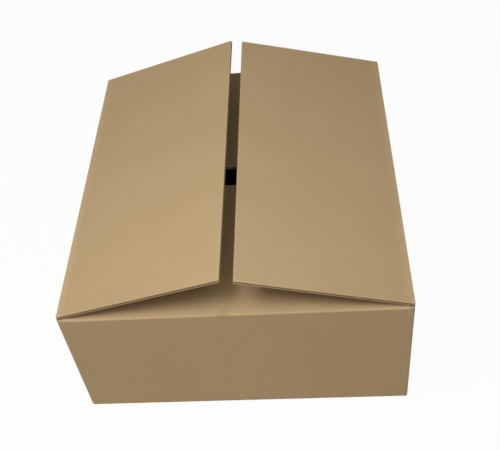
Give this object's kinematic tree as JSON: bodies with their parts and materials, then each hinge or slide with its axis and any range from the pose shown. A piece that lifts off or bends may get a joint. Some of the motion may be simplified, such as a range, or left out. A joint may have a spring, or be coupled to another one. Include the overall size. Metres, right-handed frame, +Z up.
{
  "type": "open cardboard box",
  "caption": "Regular slotted corrugated carton, bottom closed, inner top flaps folded flat and both outer top flaps hinged and standing part open.",
  "frame": {"origin": "centre of the carton's footprint, on the surface it stands on", "axes": "+Z up, +Y from the front end wall to the back end wall, +X from the left side wall to the right one; the outer top flaps hinge along Y"},
  "size_m": [0.4508, 0.5, 0.2738],
  "materials": {
    "kraft_board": "matt brown kraft liner"
  },
  "bodies": {
    "carton": {"carton_body": "kraft_board"},
    "left_flap": {"left_top_flap": "kraft_board"},
    "right_flap": {"right_top_flap": "kraft_board"}
  },
  "joints": [
    {"name": "left_flap_hinge", "type": "hinge", "parent": "carton", "child": "left_flap", "pos_m": [-0.225, 0, 0.2123], "axis": [0, -1, 0], "range_deg": [-15.9, 230.1]},
    {"name": "right_flap_hinge", "type": "hinge", "parent": "carton", "child": "right_flap", "pos_m": [0.225, 0, 0.2123], "axis": [0, 1, 0], "range_deg": [-15.1, 230.9]}
  ]
}
